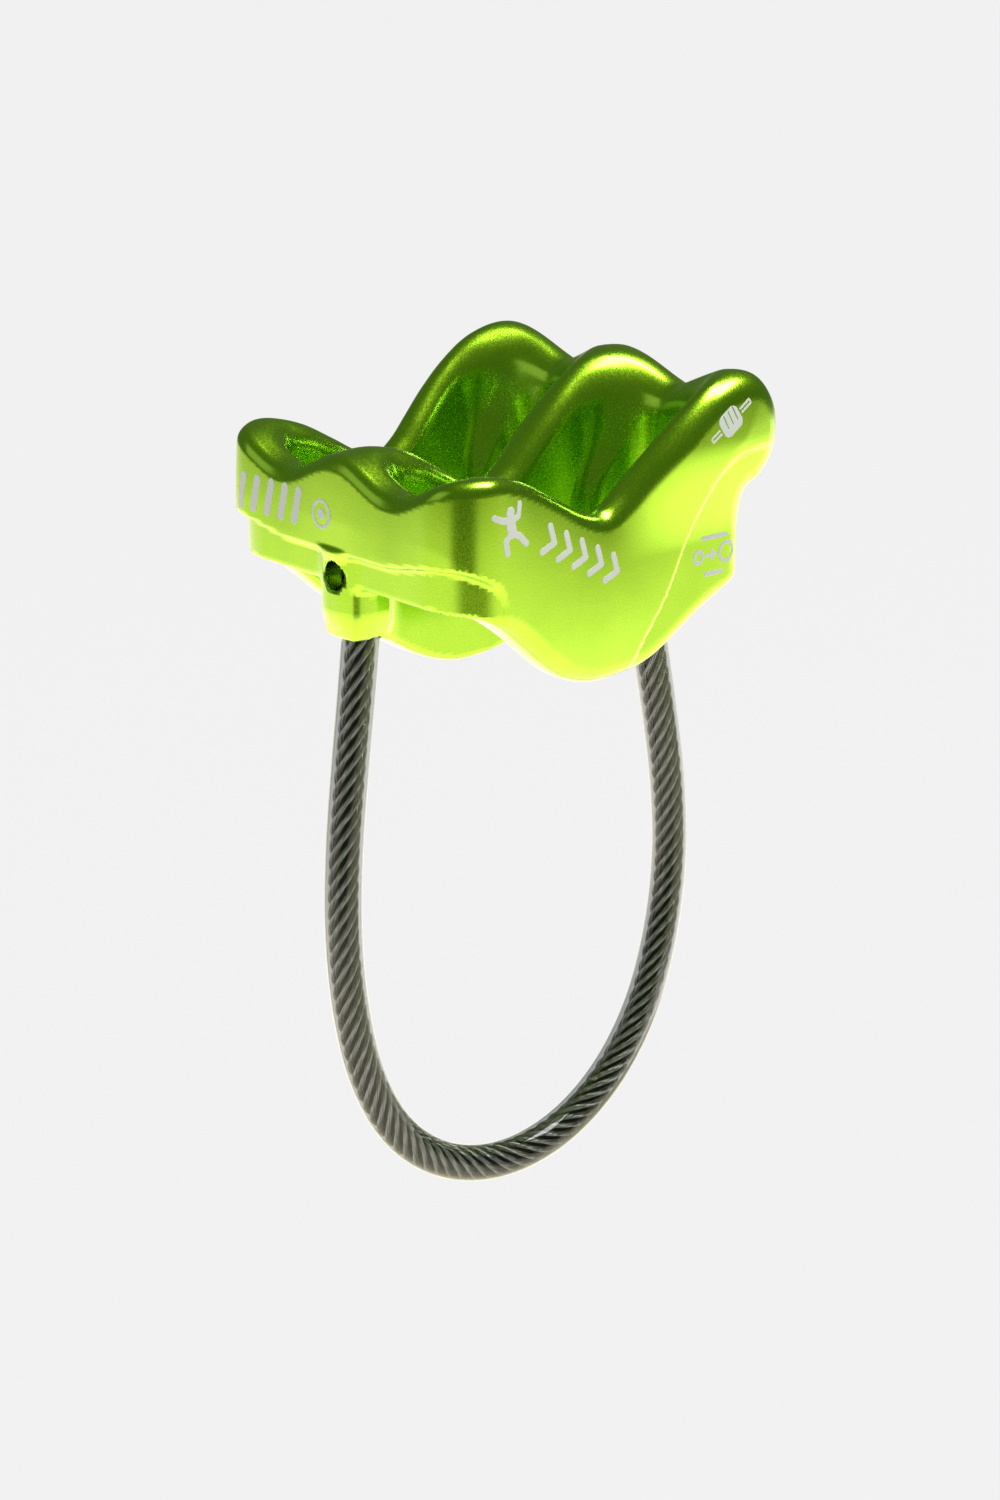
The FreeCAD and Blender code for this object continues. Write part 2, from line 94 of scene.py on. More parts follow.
# The same outline through the middle of a slot: the front rim and the rear lip are lower there.
LIP = [
    (-26.0, 19.3), (-20.5, 20.1), (-17.3, 20.5), (-13.8, 20.6), (-9.8, 20.5), (-2.4, 20.0), (5.0, 21.4),
    (10.5, 23.4), (14.0, 24.6), (17.3, 25.5), (19.9, 25.9), (22.2, 25.6), (24.0, 24.5), (24.8, 22.9),
    (24.5, 20.8), (23.7, 18.8), (22.5, 17.3), (21.2, 16.6), (20.75, 15.5), (20.7, 11.5),
]
# Lower edges of the end walls and of the centre wall, front to rear.
END_LOBE = [
    (-18.4, 9.9), (-16.6, 9.6), (-14.8, 8.8), (-12.7, 7.3), (-11.1, 6.05), (-9.4, 4.6), (-7.8, 3.2),
    (-6.2, 1.95),
    (-4.6, 0.95), (-2.9, 0.25), (-1.2, -0.2), (0.6, -0.35), (2.5, -0.3), (4.3, -0.1), (6.1, 0.2), (7.8, 0.75),
    (9.5, 1.6), (11.3, 2.7), (13.0, 3.7), (14.8, 4.7), (17.0, 5.7), (19.0, 6.5),
]
CENTRE_LOBE = [
    (-15.6, 3.9), (-13.9, 3.2), (-12.2, 2.2), (-10.6, 1.26), (-9.0, 0.5), (-7.3, -0.15), (-5.6, -0.6),
    (-4.0, -0.8), (-2.4, -0.82), (-0.7, -0.7), (1.0, -0.45), (3.2, 0.0), (5.8, 0.8), (8.8, 1.8),
    (12.0, 2.9), (17.0, 3.7),
]
# Crease on the outer face of an end wall; the face behind it is set back.
CREASE = [
    (3.0, -2.0), (4.3, 0.6), (5.7, 3.0), (8.8, 7.2), (11.5, 12.4), (14.15, 17.2), (16.0, 19.6), (18.4, 20.9),
    (21.5, 21.2),
]
REAR_LUG = [(15.0, 3.5), (26.6, 3.5), (25.8, 12.6), (23.4, 18.4), (15.0, 18.4)]
# Keeper centreline in the mirror plane, (y, z), without its two ends.
KEEPER_ROUTE = [
    (-16.58, -1.2), (-17.8, -10.6), (-18.76, -19.4), (-19.06, -28.47), (-18.27, -37.13), (-16.18, -45.88),
    (-11.93, -53.67), (-5.17, -59.2), (3.18, -61.65), (11.82, -60.53), (19.34, -56.1), (24.78, -48.99),
    (27.71, -40.36), (28.93, -31.38), (28.42, -22.32), (26.94, -13.63), (24.55, -2.2),
]


# ---------------------------------------------------------------- signed distance fields

def ramp(value, start, end):
    """0 before start, 1 after end, smooth between them."""
    share = np.clip((value - start) / (end - start), 0.0, 1.0)
    return share * share * (3.0 - 2.0 * share)


def both(a, b, radius):
    """Where two fields overlap, with the edge between them rounded."""
    corner = np.hypot(np.maximum(a + radius, 0), np.maximum(b + radius, 0))
    return np.minimum(np.maximum(a, b), -radius) + corner


def either(a, b, radius):
    """Two fields joined, with a fillet between them."""
    corner = np.hypot(np.maximum(radius - a, 0), np.maximum(radius - b, 0))
    return np.maximum(np.minimum(a, b), radius) - corner


def through(points, steps=6):
    """A smooth open line through the points."""
    p = np.array([points[0], *points, points[-1]], dtype=float)
    line = []
    for a, b, c, d in zip(p, p[1:], p[2:], p[3:]):
        for t in np.arange(steps) / steps:
            line.append(0.5 * (2 * b + (c - a) * t + (2 * a - 5 * b + 4 * c - d) * t * t
                               + (3 * b - a - 3 * c + d) * t ** 3))
    return line + [p[-1]]


class Outline:
    """The signed distance to a closed outline in the plane of y and z, looked up from a fine grid."""
    STEP, Y0, Y1, Z0, Z1 = 0.1, -24.0, 31.0, -7.0, 36.0

    def __init__(self, line, soften=0):
        y, z = np.meshgrid(np.arange(self.Y0, self.Y1, self.STEP), np.arange(self.Z0, self.Z1, self.STEP),
                           indexing="ij")
        points = np.array(line)
        nearest = np.full(y.shape, 1e9)
        inside = np.zeros(y.shape, dtype=bool)
        for (ay, az), (by, bz) in zip(points, np.roll(points, -1, axis=0)):
            dy, dz = by - ay, bz - az
            along = np.clip(((y - ay) * dy + (z - az) * dz) / (dy * dy + dz * dz + 1e-12), 0, 1)
            nearest = np.minimum(nearest, (y - ay - along * dy) ** 2 + (z - az - along * dz) ** 2)
            if az != bz:
                inside ^= ((az > z) != (bz > z)) & (y < dy * (z - az) / (bz - az) + ay)
        self.field = np.where(inside, -1, 1) * np.sqrt(nearest)
        for _ in range(soften):
            self.field = self.blurred(self.field)

    @staticmethod
    def blurred(field):
        for axis in (0, 1):
            edge = np.concatenate([field.take([0], axis), field, field.take([-1], axis)], axis)
            low, middle, high = (np.take(edge, np.arange(k, k + field.shape[axis]), axis) for k in range(3))
            field = (low + 2 * middle + high) / 4
        return field

    def __call__(self, y, z):
        table = self.field
        u = np.clip((y - self.Y0) / self.STEP, 0, table.shape[0] - 1.001)
        v = np.clip((z - self.Z0) / self.STEP, 0, table.shape[1] - 1.001)
        i, j = u.astype(int), v.astype(int)
        s, t = u - i, v - j
        return ((table[i, j] * (1 - s) + table[i + 1, j] * s) * (1 - t)
                + (table[i, j + 1] * (1 - s) + table[i + 1, j + 1] * s) * t)


FAR = 60.0
ridge = Outline(through(RIDGE) + [(20.7, -FAR), (-26.0, -FAR)], soften=8)
lip = Outline(through(LIP) + [(20.7, -FAR), (-26.0, -FAR)], soften=8)
end_edge = Outline([(-FAR, 9.9)] + through(END_LOBE) + [(FAR, 7.0), (FAR, FAR), (-FAR, FAR)], soften=6)
centre_edge = Outline([(-FAR, 4.4)] + through(CENTRE_LOBE) + [(FAR, 3.7), (FAR, FAR), (-FAR, FAR)], soften=6)
behind_crease = Outline(through(CREASE) + [(FAR, 21.2), (FAR, -FAR), (3.0, -FAR)], soften=3)
rear_lug_side = Outline(REAR_LUG, soften=8)


def slot_rear(z):
    """Where the rear face of a slot stands: it leans back, and flares towards its lip."""
    over = z - FLARE_START
    return SLOT_REAR_AT_ZERO + SLOT_REAR_LEAN * z + SLOT_FLARE * (over + np.hypot(over, 2.0)) / 2


def slot_field(x, y, z):
    """One rope slot, an upright tube of rounded rectangular section."""
    sides = np.abs(x - SLOT_CENTRE) - (SLOT_OUTER - SLOT_INNER) / 2
    return both(both(sides, SLOT_FRONT - y, SLOT_CORNER), y - slot_rear(z), 2.8 + 3.4 * ramp(z, 18, 26))


def groove_field(x, y, z):
    """The brake groove in the rear face of a slot: an upright channel that the flaring face runs out of."""
    return np.hypot(x - SLOT_CENTRE, y - GROOVE_BACK - 0.02 * z + GROOVE_RADIUS) - GROOVE_RADIUS


def rod_field(x, y, z, mouth, lean, radius, depth):
    """A blind bore in the mirror plane that opens downwards at its mouth."""
    up_y, up_z = sin(lean), cos(lean)
    y, z = y - mouth[0], z - mouth[1]
    along = y * up_y + z * up_z
    aside = np.hypot(x, y * up_z - z * up_y)
    return both(aside - radius, along - depth, 0.5)


def body_field(x, y, z):
    """The forged and milled body, negative inside."""
    x = np.abs(x)
    inner = x - CROWN_LEAN * ramp(y, 0, 12) * ramp(z, 12, 23) * ramp(x, 8, 15)
    at_front = 1 - ramp(y, -15.5, -9)
    ripple = np.sin(pi * np.clip(x, 0, WALL_MIDDLE) / WALL_MIDDLE) ** 2
    valley = np.maximum(1 - np.hypot(x - SLOT_CENTRE, 0.8) / 8.8, 0) ** 1.6
    wave = ripple * at_front + valley * ramp(y, 6, 13)
    top = ridge(y, z) * (1 - wave) + lip(y, z) * wave
    swell = FACE_SWELL * (1 - 0.5 * at_front) * np.exp(np.minimum(top, 0) / SWELL_DEPTH)
    side = inner - HALF_WIDTH + swell + SKIRT * np.exp(-np.maximum(z, -1) / SKIRT_HEIGHT)
    plan = both(FRONT_FACE - y + swell, side, FRONT_CORNER)
    shell = both(top, plan, EDGE_ROUND + (RIM_ROUND - EDGE_ROUND) * ramp(y, -6, 12))

    floor = np.where(y < 0, FRONT_UNDERSIDE, REAR_UNDERSIDE) - z
    lower = either(floor, both(end_edge(y, z), SLOT_OUTER - inner, LOBE_EDGE), LOBE_FILLET)
    lower = either(lower, both(centre_edge(y, z), x - SLOT_INNER, LOBE_EDGE), LOBE_FILLET)
    body = both(shell, lower, 0.9 + 1.0 * ramp(y, -16, -11))

    behind = both(behind_crease(y, z), HALF_WIDTH - CREASE_DEPTH - inner, 0.35)
    body = both(body, -behind, CREASE_EDGE)

    flange = FLANGE_UNDERSIDE + 1.1 * ramp(x, 7, 16) - 1.2 * ramp(y, -18.5, -14.5)
    inset = both(FRONT_FACE + BAND_DEPTH - y, x - HALF_WIDTH, BAND_CORNER)
    band = both(both(z - flange, y - BAND_END, 2.8), -inset, 0.5)
    body = both(body, -band, BAND_EDGE)

    rim = 1.2 + 1.2 * ramp(z, 9, 15) + 0.2 * ramp(y, 8, 15)
    body = both(body, -slot_field(inner, y, z), rim)
    body = both(body, -groove_field(inner, y, z), GROOVE_EDGE)

    lug = both(x - LUG_HALF, LUG_FACE - y, LUG_CORNER)
    lug = both(lug, LUG_UNDERSIDE - z, LUG_TOE)
    lug = both(lug, y - LUG_BACK, 0.7)
    lug = both(lug, z - FLANGE_UNDERSIDE, 0.1)
    body = either(body, lug, LUG_FILLET)
    rear_lug = both(x - LUG_HALF, rear_lug_side(y, z), 1.5)
    body = either(body, rear_lug, REAR_LUG_FILLET)

    for mouth, lean in ((FRONT_MOUTH, FRONT_LEAN), (REAR_MOUTH, REAR_LEAN)):
        body = both(body, -rod_field(x, y, z, mouth, lean, BORE_RADIUS, BORE_DEPTH), BORE_EDGE)
    cross = np.hypot(x, z - CROSS_HEIGHT) - CROSS_RADIUS
    body = both(body, -both(cross, y - CROSS_FRONT_END, 0.1), CROSS_EDGE)
    return both(body, -both(cross, CROSS_REAR_END - y, 0.1), CROSS_EDGE)


def gradient(field, points, reach=0.06):
    rows = []
    for axis in range(3):
        step = np.zeros(3)
        step[axis] = reach
        rows.append((field(*(points + step).T) - field(*(points - step).T)) / (2 * reach))
    return np.stack(rows, axis=1)


# ---------------------------------------------------------------- meshing

def surface_net(values, origin, step):
    """Vertices and quads of the zero surface of a grid of values: one vertex in each cell that it crosses."""
    inside = values < 0
    count = sum(inside[i:i - 1 or None, j:j - 1 or None, k:k - 1 or None].astype(np.int8)
                for i in (0, 1) for j in (0, 1) for k in (0, 1))
    mixed = (count > 0) & (count < 8)
    cells = np.argwhere(mixed)
    index = np.full(mixed.shape, -1)
    index[mixed] = np.arange(len(cells))
    total, number = np.zeros((len(cells), 3)), np.zeros(len(cells))
    for axis in range(3):
        for a in (0, 1):
            for b in (0, 1):
                start = np.insert(np.array([a, b]), axis, 0)
                end = start + np.eye(3, dtype=int)[axis]
                v0 = values[tuple((cells + start).T)]
                v1 = values[tuple((cells + end).T)]
                crossed = (v0 < 0) != (v1 < 0)
                share = np.where(crossed, v0 / np.where(crossed, v0 - v1, 1), 0)
                total += crossed[:, None] * (start + share[:, None] * (end - start))
                number += crossed
    points = origin + step * (cells + total / number[:, None])
    quads = []
    for axis in range(3):
        u, v = (axis + 1) % 3, (axis + 2) % 3
        low = [slice(None)] * 3
        high = [slice(None)] * 3
        low[axis], high[axis] = slice(0, -1), slice(1, None)
        first, second = inside[tuple(low)], inside[tuple(high)]
        for outward in (True, False):
            edges = np.argwhere((first & ~second) if outward else (~first & second))
            ok = (edges[:, u] > 0) & (edges[:, v] > 0)
            ok &= (edges[:, u] < mixed.shape[u]) & (edges[:, v] < mixed.shape[v])
            edges = edges[ok]
            ring = []
            for du, dv in ((-1, -1), (0, -1), (0, 0), (-1, 0)):
                cell = edges.copy()
                cell[:, u] += du
                cell[:, v] += dv
                ring.append(index[tuple(cell.T)])
            quads.append(np.stack(ring if outward else ring[::-1], axis=1))
    return points, np.concatenate(quads)


def mesh_object(name, points_mm, faces, normals=None):
    mesh = bpy.data.meshes.new(name)
    mesh.from_pydata((np.asarray(points_mm) * MM).tolist(), [], faces)
    mesh.polygons.foreach_set("use_smooth", [True] * len(mesh.polygons))
    mesh.update()
    if normals is not None:
        mesh.normals_split_custom_set_from_vertices(normals.tolist())
    obj = bpy.data.objects.new(name, mesh)
    bpy.context.scene.collection.objects.link(obj)
    return obj


def forged_body():
    step = 0.4
    margin = 2 * step
    half = int(np.ceil((HALF_WIDTH + CROWN_LEAN + margin) / step))
    xs = (np.arange(-half, half) + 0.5) * step
    ys = np.arange(FRONT_FACE - margin, 26.8 + margin, step) + 0.013
    zs = np.arange(-1.0 - margin, 29.8 + margin, step) + 0.017
    x, y, z = np.meshgrid(xs[half:], ys, zs, indexing="ij")
    right = body_field(x, y, z)
    values = np.concatenate([right[::-1], right], axis=0)
    points, quads = surface_net(values, np.array([xs[0], ys[0], zs[0]]), step)
    for _ in range(4):
        slope = gradient(body_field, points)
        size = np.sum(slope * slope, axis=1, keepdims=True)
        move = body_field(*points.T)[:, None] * slope / np.maximum(size, 0.2)
        points = points - np.clip(move, -0.3 * step, 0.3 * step)
    slope = gradient(body_field, points)
    normals = slope / np.linalg.norm(slope, axis=1, keepdims=True)
    return mesh_object("forged_body_skin", points, quads.tolist(), normals)


# ---------------------------------------------------------------- printed marks

def stroke(u, v, line, radius):
    """The signed distance to a round-ended stroke along a line of points."""
    nearest = np.full(u.shape, FAR)
    for (au, av), (bu, bv) in zip(line, line[1:]):
        du, dv = bu - au, bv - av
        along = np.clip(((u - au) * du + (v - av) * dv) / (du * du + dv * dv), 0, 1)
        nearest = np.minimum(nearest, np.hypot(u - au - along * du, v - av - along * dv))
    return nearest - radius


def ring(u, v, centre, radius, width):
    return np.abs(np.hypot(u - centre[0], v - centre[1]) - radius) - width / 2


def climber(u, v):
    return np.minimum.reduce([
        stroke(u, v, [(0.0, 1.5), (0.05, 1.65)], 0.55),
        stroke(u, v, [(0.0, 0.75), (0.2, -0.4)], 0.62),
        stroke(u, v, [(-0.2, 0.8), (-1.2, 1.0), (-2.1, 1.4)], 0.34),
        stroke(u, v, [(0.3, 0.8), (1.1, 1.1), (1.35, 2.3)], 0.32),
        stroke(u, v, [(0.0, -0.5), (-0.7, -1.2), (-0.5, -2.4)], 0.36),
        stroke(u, v, [(0.3, -0.5), (1.2, -0.9), (2.1, -1.8)], 0.36),
    ])


def arrows(u, v):
    """Five arrowheads in a row that falls towards the rear."""
    s, t = 0.888 * u - 0.461 * v, 0.461 * u + 0.888 * v
    return np.minimum.reduce([
        stroke(s, t, [(middle - 0.65, 1.35), (middle + 0.55, 0.0), (middle - 0.65, -1.35)], 0.36)
        for middle in (-4.8, -2.4, 0.0, 2.4, 4.8)])


def gripping_hand(u, v):
    """A hand closed round a slanting rope."""
    s, t = 0.84 * u + 0.54 * v, 0.84 * v - 0.54 * u
    rope = both(np.abs(t) - 0.36, np.abs(s) - 3.3, 0.2)
    core = both(np.abs(t) - 0.1, np.abs(s) - 3.1, 0.05)
    palm = both(np.abs(s + 0.1) - 1.45, np.abs(t) - 1.3, 0.75)
    gaps = np.minimum.reduce([stroke(s, t, [(m, -0.4), (m + 0.15, 1.1)], 0.07) for m in (-0.75, 0.0, 0.75)])
    return np.minimum(both(rope, -np.minimum(core, palm - 0.2), 0.02), both(palm, -gaps, 0.02))


def rope_range(u, v):
    """Thin rope, arrow, thick rope, between two bars."""
    return np.minimum.reduce([
        ring(u, v, (-2.1, 0.6), 0.62, 0.42), ring(u, v, (2.0, 0.6), 1.0, 0.42),
        stroke(u, v, [(-0.95, 0.6), (0.25, 0.6)], 0.18),
        stroke(u, v, [(-0.2, 1.05), (0.3, 0.6), (-0.2, 0.15)], 0.18),
        stroke(u, v, [(-1.5, 2.5), (1.9, 2.5)], 0.26), stroke(u, v, [(-1.0, -1.4), (1.3, -1.4)], 0.26),
    ])


def slanted_bars(u, v):
    return np.minimum.reduce([stroke(u, v, [(m - 0.35, -1.55), (m + 0.35, 1.55)], 0.52)
                              for m in (-4.6, -2.3, 0.0, 2.3, 4.6)])


def badge(u, v):
    """A round spot inside a thin ring."""
    return either(ring(u, v, (0.0, 0.0), 1.35, 0.4), np.hypot(u, v) - 0.6, 0.02)


def printed(name, shape, face, centre, half_u, half_v):
    """A mark as a thin skin of paint that follows the body: on its +X face, or on its front face."""
    step = 0.07
    u, v = np.arange(-half_u, half_u, step), np.arange(-half_v, half_v, step)
    layers = np.array([-2.0, -1.0, 1.0, 2.0])
    flat = shape(*np.meshgrid(u, v, indexing="ij"))
    values = np.maximum(flat[:, :, None], (np.abs(layers) - 1.5)[None, None, :] * 0.1)
    points, quads = surface_net(values, np.zeros(3), 1.0)
    across, upward = u[0] + points[:, 0] * step + centre[0], v[0] + points[:, 1] * step + centre[1]
    height = (points[:, 2] - 1.5) * PAINT
    if face == "side":
        base = np.stack([np.full(len(points), HALF_WIDTH), across, upward], axis=1)
        push = np.array([1.0, 0.0, 0.0])
    else:
        base = np.stack([across, np.full(len(points), FRONT_FACE), upward], axis=1)
        push = np.array([0.0, -1.0, 0.0])
    for _ in range(5):
        base = base - np.clip(body_field(*base.T), -0.6, 0.6)[:, None] * push
    slope = gradient(body_field, base, 0.2)
    slope /= np.linalg.norm(slope, axis=1, keepdims=True)
    mark = mesh_object(name, base + height[:, None] * slope, quads.tolist())
    mark.data.polygons.foreach_set("use_smooth", [False] * len(mark.data.polygons))
    return mark


# ---------------------------------------------------------------- keeper

def up(lean):
    return Vector((0.0, sin(lean), cos(lean)))


def mouth_point(mouth, lean, entry):
    return Vector((0.0, *mouth)) + up(lean) * entry


def keeper_line():
    """The keeper's smooth centreline, as the points of its spline, in metres."""
    start = mouth_point(FRONT_MOUTH, FRONT_LEAN, SHEATH_ENTRY)
    end = mouth_point(REAR_MOUTH, REAR_LEAN, SHEATH_ENTRY)
    corners = [start] + [Vector((0, y, z)) for y, z in KEEPER_ROUTE] + [end]
    curve = bpy.data.curves.new("keeper_line", "CURVE")
    curve.dimensions = "3D"
    curve.resolution_u = 24
    spline = curve.splines.new("NURBS")
    spline.points.add(len(corners) - 1)
    for point, corner in zip(spline.points, corners):
        point.co = (*(corner * MM), 1.0)
    spline.order_u = 3
    spline.use_endpoint_u = True
    holder = bpy.data.objects.new("keeper_line", curve)
    bpy.context.scene.collection.objects.link(holder)
    mesh = bpy.data.meshes.new_from_object(holder)
    line = [tuple(v.co) for v in mesh.vertices]
    bpy.data.objects.remove(holder)
    bpy.data.curves.remove(curve)
    bpy.data.meshes.remove(mesh)
    return line


def evenly(line_mm, spacing):
    """Points spaced evenly along a line, with the distance of each from its start."""
    line = np.asarray(line_mm)
    run = np.concatenate([[0], np.cumsum(np.linalg.norm(np.diff(line, axis=0), axis=1))])
    count = int(round(run[-1] / spacing)) + 1
    along = np.linspace(0, run[-1], count)
    return np.stack([np.interp(along, run, line[:, k]) for k in range(3)], axis=1), along


def side_axes(points):
    """At each point of a line in the mirror plane: the tangent, and the two directions square to it."""
    tangent = np.gradient(points, axis=0)
    tangent /= np.linalg.norm(tangent, axis=1, keepdims=True)
    across = np.tile([1.0, 0.0, 0.0], (len(points), 1))
    return tangent, across, np.cross(tangent, across)


def tube(sections):
    """Vertices and faces of a closed tube through rings of equal size, with its ends capped."""
    rings, around = sections.shape[:2]
    points = sections.reshape(-1, 3)
    i = np.arange(rings - 1)[:, None] * around
    j = np.arange(around)
    k = (j + 1) % around
    faces = np.stack([i + j, i + k, i + around + k, i + around + j], axis=-1).reshape(-1, 4).tolist()
    middles = len(points)
    points = np.concatenate([points, sections[0].mean(axis=0)[None], sections[-1].mean(axis=0)[None]])
    last = (rings - 1) * around
    faces += [(middles, int(b), int(a)) for a, b in zip(j, k)]
    faces += [(middles + 1, last + int(a), last + int(b)) for a, b in zip(j, k)]
    return points, faces


def keeper_sheath(line_mm):
    points, _ = evenly(line_mm, 0.6)
    _, across, away = side_axes(points)
    angle = np.linspace(0, 2 * pi, 40, endpoint=False)
    ring = np.cos(angle)[None, :, None] * across[:, None] + np.sin(angle)[None, :, None] * away[:, None]
    vertices, faces = tube(points[:, None] + SHEATH_RADIUS * ring)
    return mesh_object("keeper_jacket", vertices, faces)


def wire_strands(line_mm):
    """Six strands round a core, whose faces come first; the core is painted near-black as shade in the gaps
    between the strands. The wires turn against the strands.
    """
    strands, wires, sides = 6, 5, 6
    strand_lay, wire_lay = 11.0, 5.0
    strand, wire, core = 0.28, 0.10, 0.66
    centre, along = evenly(line_mm, 0.5)
    _, across, away = side_axes(centre)
    around = np.arange(sides) / sides * 2 * pi

    def offset(turn, radius):
        return radius * (np.cos(turn)[..., None] * across[:, None] + np.sin(turn)[..., None] * away[:, None])

    def laid(middle, radius):
        spin = np.tile(around, (len(centre), 1))
        return tube(middle[:, None] + offset(spin, radius))

    parts = [laid(centre, core)]
    for number in range(strands):
        turn = 2 * pi * (along / strand_lay + number / strands)
        middle = centre + offset(turn[:, None], ROPE_RADIUS - strand)[:, 0]
        parts.append(laid(middle, strand - 1.4 * wire))
        for share in range(wires):
            twist = turn + 2 * pi * (share / wires - along / wire_lay)
            parts.append(laid(middle + offset(twist[:, None], strand - wire)[:, 0], wire))
    all_faces, base = [], 0
    for points, faces in parts:
        all_faces += [tuple(base + v for v in face) for face in faces]
        base += len(points)
    all_points = np.concatenate([points for points, _ in parts])
    core_faces = len(parts[0][1])
    return mesh_object("keeper_strands", all_points, all_faces), core_faces


# ---------------------------------------------------------------- materials

def new_material(name):
    material = bpy.data.materials.new(name)
    material.use_nodes = True
    nodes = material.node_tree.nodes
    return material, nodes, material.node_tree.links, nodes["Principled BSDF"]


def noise(nodes, links, scale, detail=2.0, stretch=None):
    """Noise in object space; scale is in features per metre."""
    place = nodes.new("ShaderNodeTexCoord")
    source = place.outputs["Object"]
    if stretch:
        mapping = nodes.new("ShaderNodeMapping")
        mapping.inputs["Scale"].default_value = stretch
        links.new(source, mapping.inputs["Vector"])
        source = mapping.outputs["Vector"]
    texture = nodes.new("ShaderNodeTexNoise")
    texture.inputs["Scale"].default_value = scale
    texture.inputs["Detail"].default_value = detail
    links.new(source, texture.inputs["Vector"])
    return texture.outputs["Fac"]


def between(nodes, links, source, low, high, from_low=0.3, from_high=0.7):
    remap = nodes.new("ShaderNodeMapRange")
    remap.inputs["From Min"].default_value = from_low
    remap.inputs["From Max"].default_value = from_high
    remap.inputs["To Min"].default_value = low
    remap.inputs["To Max"].default_value = high
    links.new(source, remap.inputs["Value"])
    return remap.outputs["Result"]


def colours(nodes, links, source, dark, light, low=0.3, high=0.7):
    shades = nodes.new("ShaderNodeValToRGB")
    shades.color_ramp.elements[0].position = low
    shades.color_ramp.elements[0].color = (*dark, 1)
    shades.color_ramp.elements[1].position = high
    shades.color_ramp.elements[1].color = (*light, 1)
    links.new(source, shades.inputs["Fac"])
    return shades.outputs["Color"]


def bumps(nodes, links, source, shader, distance, strength=1.0):
    bump = nodes.new("ShaderNodeBump")
    bump.inputs["Distance"].default_value = distance
    bump.inputs["Strength"].default_value = strength
    links.new(source, bump.inputs["Height"])
    links.new(bump.outputs["Normal"], shader.inputs["Normal"])
    return bump


def anodised_green():
    """Lime anodising over a bead-blasted surface: dyed metal under a clear oxide skin."""
    material, nodes, links, shader = new_material("anodised_green")
    shader.inputs["Metallic"].default_value = 1.0
    shader.inputs["Coat Weight"].default_value = 0.75
    shader.inputs["Coat IOR"].default_value = 1.6
    shader.inputs["Coat Roughness"].default_value = 0.16
    cloud = noise(nodes, links, 260.0, 3.0)
    dye = colours(nodes, links, cloud, (0.36, 0.68, 0.013), (0.40, 0.72, 0.017))
    links.new(dye, shader.inputs["Base Color"])
    grain = noise(nodes, links, 4200.0, 2.0)
    links.new(between(nodes, links, grain, 0.22, 0.31), shader.inputs["Roughness"])
    bumps(nodes, links, grain, shader, 0.000006, 0.6)
    return material


def mark_paint():
    """Pale satin paint with a faint screen-print grain."""
    material, nodes, links, shader = new_material("mark_paint")
    grain = noise(nodes, links, 6000.0, 2.0)
    ink = colours(nodes, links, grain, (0.88, 0.90, 0.87), (0.94, 0.95, 0.93))
    links.new(ink, shader.inputs["Base Color"])
    links.new(between(nodes, links, grain, 0.4, 0.55), shader.inputs["Roughness"])
    return material


def clear_jacket():
    """Clear, slightly smoky extruded jacket, with a faint drag along its length."""
    material, nodes, links, shader = new_material("clear_jacket")
    shader.inputs["Base Color"].default_value = (0.40, 0.41, 0.42, 1)
    shader.inputs["Transmission Weight"].default_value = 1.0
    shader.inputs["IOR"].default_value = 1.4
    drag = noise(nodes, links, 900.0, 2.0, (1.0, 0.3, 0.12))
    links.new(between(nodes, links, drag, 0.015, 0.07), shader.inputs["Roughness"])
    bumps(nodes, links, drag, shader, 0.00002, 0.25)
    return material


def rope_wire():
    material, nodes, links, shader = new_material("rope_wire")
    shader.inputs["Metallic"].default_value = 1.0
    tone = noise(nodes, links, 1500.0, 3.0, (1.0, 1.0, 0.4))
    steel = colours(nodes, links, tone, (0.55, 0.54, 0.48), (0.86, 0.85, 0.78))
    links.new(steel, shader.inputs["Base Color"])
    links.new(between(nodes, links, tone, 0.14, 0.24), shader.inputs["Roughness"])
    bumps(nodes, links, tone, shader, 0.00002, 0.4)
    return material


def core_painted_shade():
    """Near-black core: painted shade that shows in the gaps between the strands."""
    material, nodes, links, shader = new_material("core_painted_shade")
    core_streak = noise(nodes, links, 2500.0, 2.0, (1.0, 1.0, 0.4))
    # Near-black colour: painted shade for the gaps between the strands.
    gap_shade = colours(nodes, links, core_streak, (0.010, 0.010, 0.008), (0.030, 0.029, 0.024))
    links.new(gap_shade, shader.inputs["Base Color"])
    links.new(between(nodes, links, core_streak, 0.5, 0.8), shader.inputs["Roughness"])
    return material


def turned_steel(name, shade, lines):
    """Steel with fine turning lines round its length and slight stains."""
    material, nodes, links, shader = new_material(name)
    shader.inputs["Metallic"].default_value = 1.0
    stain = noise(nodes, links, 700.0, 3.0)
    dark = tuple(0.7 * c for c in shade)
    links.new(colours(nodes, links, stain, dark, shade), shader.inputs["Base Color"])
    drawn = noise(nodes, links, 3000.0, 1.0, lines)
    links.new(between(nodes, links, drawn, 0.22, 0.42), shader.inputs["Roughness"])
    bumps(nodes, links, drawn, shader, 0.00002, 0.4)
    return material


def dress(obj, material):
    obj.data.materials.clear()
    obj.data.materials.append(material)


def dress_node(name, material):
    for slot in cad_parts[name].material_slots:
        slot.material = material


# ---------------------------------------------------------------- stage, light and camera

# Direction in plan of the dark opening, and how brightly the room and the floor are mirrored in the metal.
OPENING = (0.75, -0.66)
ROOM_GLOW, FLOOR_GLOW = (0.10, 0.15, 0.05), (2.14, 1.95, 1.40)
# How bright the floor and the far wall look.
PALE = 0.875
FLOOR_HEIGHT = -0.14


